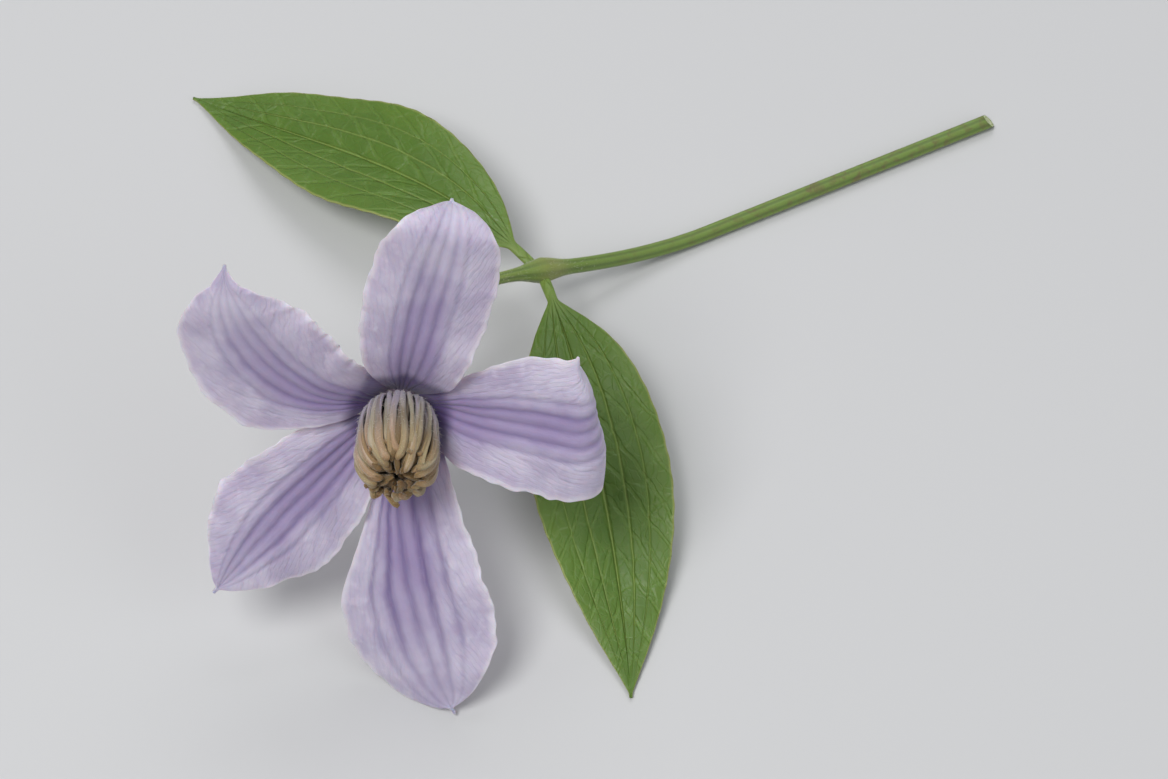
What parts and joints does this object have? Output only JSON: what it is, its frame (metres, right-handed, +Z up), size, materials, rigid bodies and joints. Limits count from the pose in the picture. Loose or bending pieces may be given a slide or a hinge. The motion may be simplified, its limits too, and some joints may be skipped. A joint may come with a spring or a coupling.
{
  "type": "clematis flower",
  "caption": "Open lavender clematis bloom with ruffled tepals round a barrel of buff stamens, on an arched, leafy cut stem, lying on its side.",
  "frame": {"origin": "centre of the bounding box's bottom face, on the surface that the flower lies on", "axes": "+Z up; +X from the bloom towards the cut end of the stem, along the longest side; the bloom faces -Y and a little up"},
  "size_m": [0.1452, 0.1244, 0.0828],
  "materials": {
    "tepal": "matte",
    "stamen": "matte",
    "pistil": "matte",
    "stem": "matte",
    "leaf": "satin"
  },
  "bodies": {
    "root": {"tepal_right": "tepal", "tepal_upper": "tepal", "tepal_upper_left": "tepal", "tepal_lower_left": "tepal", "tepal_lower": "tepal", "stamens": "stamen", "pistils": "pistil", "stem": "stem", "leaf_left": "leaf", "leaf_right": "leaf"}
  },
  "joints": []
}
